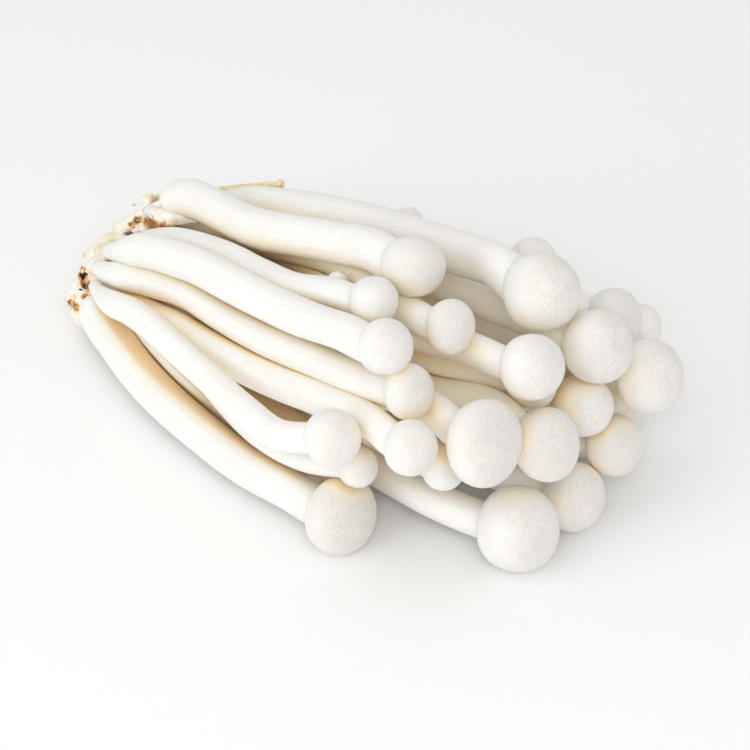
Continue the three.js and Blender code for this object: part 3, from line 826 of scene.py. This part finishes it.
# A curled skin: flattened ovals carried along a smooth line, with their edges bent to or from the viewer.
def curledSkin(rows, thick, bend, tilt, along=30, around=20):
    rows = np.array(rows, float)
    line = np.column_stack([onRays(rows[:, :3]), rows[:, 3] * millimetre])
    line = smoothLine(np.arange(len(rows)), line, np.linspace(0, len(rows) - 1, along))
    middles, wide = line[:, :3], line[:, 3:]
    ahead, out, side = lineFrame(middles)
    a = math.radians(tilt)
    out, side = out * math.cos(a) + side * math.sin(a), side * math.cos(a) - out * math.sin(a)
    turn = fullTurn(around)
    narrow = wide / wide.max()
    rise = thick / 2 * narrow**0.5 * np.sin(turn) + bend * narrow * (np.cos(turn) ** 2 - 0.4)
    points = middles[:, None] + side[:, None] * (wide * np.cos(turn))[:, :, None]
    points = points + out[:, None] * (rise * millimetre)[:, :, None]
    return closedTube(points, middles, ahead, 0.0002)


# A lump is a ball stretched to its half sizes, and the small ring is a circle carried round a circle.
def lumpSkin(px, py, height, right, up, near, rows=12, around=16):
    middle = onRays([[px, py, height]])[0]
    lift = ((np.arange(rows) + 0.5) / rows * math.pi)[:, None]
    turn = fullTurn(around)
    ball = gathered(np.sin(lift) * np.cos(turn), np.sin(lift) * np.sin(turn), np.cos(lift))
    ball = np.concatenate([[(0, 0, 1)], ball, [(0, 0, -1)]]) * (right, up, near) * millimetre
    return middle + ball @ np.stack([toRight, toTop, toViewer]), skinFaces(rows, around)


def ringSkin(px, py, height, right, up, tube, rows=24, around=10):
    middle = onRays([[px, py, height]])[0]
    big, small = fullTurn(rows)[:, None], fullTurn(around)
    out = 1 + tube * np.cos(small)
    ring = gathered(right * out * np.cos(big), up * out * np.sin(big), tube * np.sin(small))
    index = np.arange(rows)[:, None] * around + np.arange(around)
    ahead, beside = np.roll(index, -1, axis=0), np.roll(index, -1, axis=1)
    both = np.roll(ahead, -1, axis=1)
    faces = np.stack([index, ahead, both, beside], axis=-1).reshape(-1, 4).tolist()
    return middle + ring * millimetre @ np.stack([toRight, toTop, toViewer]), faces


# A sheath: a closed tube round a root.
def sheathSkin(name, start, end, first, last, along=16, around=18):
    line = bunch[name]["middles"]
    middles = smoothLine(alongLine(line), line, np.linspace(start, end, along) * millimetre)
    ahead, out, side = lineFrame(middles)
    turn = fullTurn(around)[:, None]
    across = np.cos(turn) * out[:, None] + np.sin(turn) * side[:, None]
    points = middles[:, None] + across * (np.linspace(first, last, along) * millimetre)[:, None, None]
    return closedTube(points, middles, ahead, 0.0003)


def joined(shells):  # several shells of points and faces as one
    points, faces, before = [], [], 0
    for shellPoints, shellFaces in shells:
        points.append(shellPoints)
        faces += [[corner + before for corner in face] for face in shellFaces]
        before += len(shellPoints)
    return np.concatenate(points), faces


def remeshed(points, faces, voxel):
    rough = meshPiece("roughBase", points, faces)
    modifier = rough.modifiers.new("oneSkin", "REMESH")
    modifier.mode, modifier.voxel_size = "VOXEL", voxel
    shaped = rough.evaluated_get(bpy.context.evaluated_depsgraph_get())
    mesh = bpy.data.meshes.new_from_object(shaped)
    bpy.data.objects.remove(rough)
    return mesh


def relaxed(values, edges, rounds):  # each point's value becomes the mean of its neighbours' and its own
    ends, others = edges.ravel(), edges[:, ::-1].ravel()
    count = np.bincount(ends, minlength=len(values)) + 1
    for _ in range(rounds):
        sums = [np.bincount(ends, weights=column[others], minlength=len(values)) for column in values.T]
        values = (values + np.stack(sums, axis=-1)) / count[:, None]
    return values


def inSpot(pixels, px, py, size, full):  # 1 in the middle of a spot, 0 where it ends
    gap = np.hypot(pixels[:, 0] - px, pixels[:, 1] - py)
    return 1 - smoothStep(gap, full * size, size)


def spotCover(pixels, spots):
    stain = np.zeros(len(pixels))
    for px, py, size in spots:
        stain = np.maximum(stain, inSpot(pixels, px, py, size, baseSettings["spotFull"]))
    return stain


def buildBase():
    s = baseSettings
    places, triangles = readMesh(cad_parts["base"])
    shells = [(places, triangles.tolist())]
    shells += [curledSkin(*skin) for skin in s["skins"].values()]
    shells += [lumpSkin(*lump) for lump in s["lumps"]]
    shells += [sheathSkin(name, *sheath) for name, sheath in s["sheaths"].items()]
    shells.append(ringSkin(*s["ring"]))
    mesh = remeshed(*joined(shells), s["voxel"])
    points = readField(mesh.vertices, "co", 3, np.float32).astype(float)
    normals = readField(mesh.vertices, "normal", 3, np.float32).astype(float)
    edges = readField(mesh.edges, "vertices", 2, np.int32)
    points = relaxed(points, edges, s["settleRounds"])
    pixels = toPixels(points)
    seen = smoothStep(normals @ toViewer, *s["seenFrom"])
    for px, py, size, depth in s["pits"]:
        sink = depth * millimetre * inSpot(pixels, px, py, size, s["pitFull"]) * seen
        points = points - sink[:, None] * toViewer
    (broad, broadSize), (fine, fineSize) = s["broad"], s["fine"]
    lift = broad * noise(points, broadSize, 1) + fine * noise(points, fineSize, 2)
    points = points + lift[:, None] * normals
    points[:, 2] = np.maximum(points[:, 2], 0.0)
    hollow = ((relaxed(points, edges, s["hollowRounds"]) - points) * normals).sum(axis=1) / millimetre
    mesh.vertices.foreach_set("co", points.astype(np.float32).ravel())
    mesh.update()
    mesh.shade_smooth()
    mesh.name = "tornBase"
    piece = placed("torn_base", mesh)
    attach(piece, "root")
    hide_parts("base")
    mesh.materials.append(tornMaterial)
    speckle = noise(points, s["speckleSize"], 3)
    # brown: stains, with painted shade in the hollow under the stub
    brown = spotCover(pixels + 3 * speckle[:, None], s["brown"]) * seen * (0.75 + 0.4 * speckle)
    brown = brown + 0.5 * smoothStep(hollow, *s["hollowFrom"])
    brown = brown + 0.55 * smoothStep(-hollow, *s["crestFrom"])
    store(piece, "brown", np.clip(brown, 0, 1))
    # Beige: listed patches, and painted shade on faces that turn away from the viewer
    store(piece, "beige", np.clip(spotCover(pixels, s["beige"]) * seen + 0.6 * (1 - seen), 0, 1))
    # painted shade in cracks and pits, on faces the viewer sees
    store(piece, "paintedCrackShade", spotCover(pixels + 2 * speckle[:, None], s["paintedCrackShade"]) * seen)
    print("base made with", len(points), "points")


buildBase()

floorSettings = {
    "half": 3.0,
    "height": -0.0002,
    "colour": (0.98, 0.98, 0.98, 1),
    "pale": (1, 1, 1, 1),
    "grainScale": 900.0,
    "shader": {"Roughness": 0.8},
}


def buildFloor():
    s = floorSettings
    h, z = s["half"], s["height"]
    points = np.array([(-h, -h, z), (h, -h, z), (h, h, z), (-h, h, z)])
    floor = meshPiece("floor", points, [[0, 1, 2, 3]])
    material, w, shader = startMaterial("paleTable")
    grain = w.node("ShaderNodeTexCoord", out=3).grain(s["grainScale"], detail=2.0)
    finishMaterial(w, shader, s["shader"], {"Base Color": grain.colour(s["colour"], s["pale"])})
    floor.data.materials.append(material)


buildFloor()

lightSettings = {
    "aim": (0, 0, 0.02),
    "key": {"turn": -14, "lift": 22, "away": 0.9, "size": 0.55, "watts": 1.7, "colour": (0.98, 0.99, 1)},
    "top": {"turn": -40, "lift": 75, "away": 1.1, "size": 0.9, "watts": 0.9, "colour": (1, 1, 1)},
    "fill": {"turn": 42, "lift": 42, "away": 1.0, "size": 0.4, "watts": 2.2, "colour": (1, 0.985, 0.96)},
    "world": {"Color": (1, 1, 1, 1), "Strength": 0.68},
}


def placeLamp(name, turn, lift, away, size, watts, colour):
    lamp = bpy.data.lights.new(name, "AREA")
    lamp.shape, lamp.size, lamp.energy, lamp.color = "DISK", size, watts, colour
    holder = placed(name, lamp)
    direction = Vector(turned(turn, lift))
    holder.location = Vector(lightSettings["aim"]) + direction * away
    holder.rotation_euler = direction.to_track_quat("Z", "Y").to_euler()


for lampName in ("key", "top", "fill"):
    placeLamp(lampName, **lightSettings[lampName])
world = bpy.data.worlds.new("paleRoom")
world.use_nodes = True
for name, value in lightSettings["world"].items():
    world.node_tree.nodes["Background"].inputs[name].default_value = value
bpy.context.scene.world = world
bpy.context.scene.view_settings.view_transform = "Standard"

camera = placed("camera", bpy.data.cameras.new("camera"))
camera.data.lens = cameraSettings["lens"]
camera.data.sensor_width = cameraSettings["sensor"]
camera.location = eye
camera.rotation_euler = Vector(toViewer).to_track_quat("Z", "Y").to_euler()
bpy.context.scene.camera = camera
print("floor, lights and camera placed")
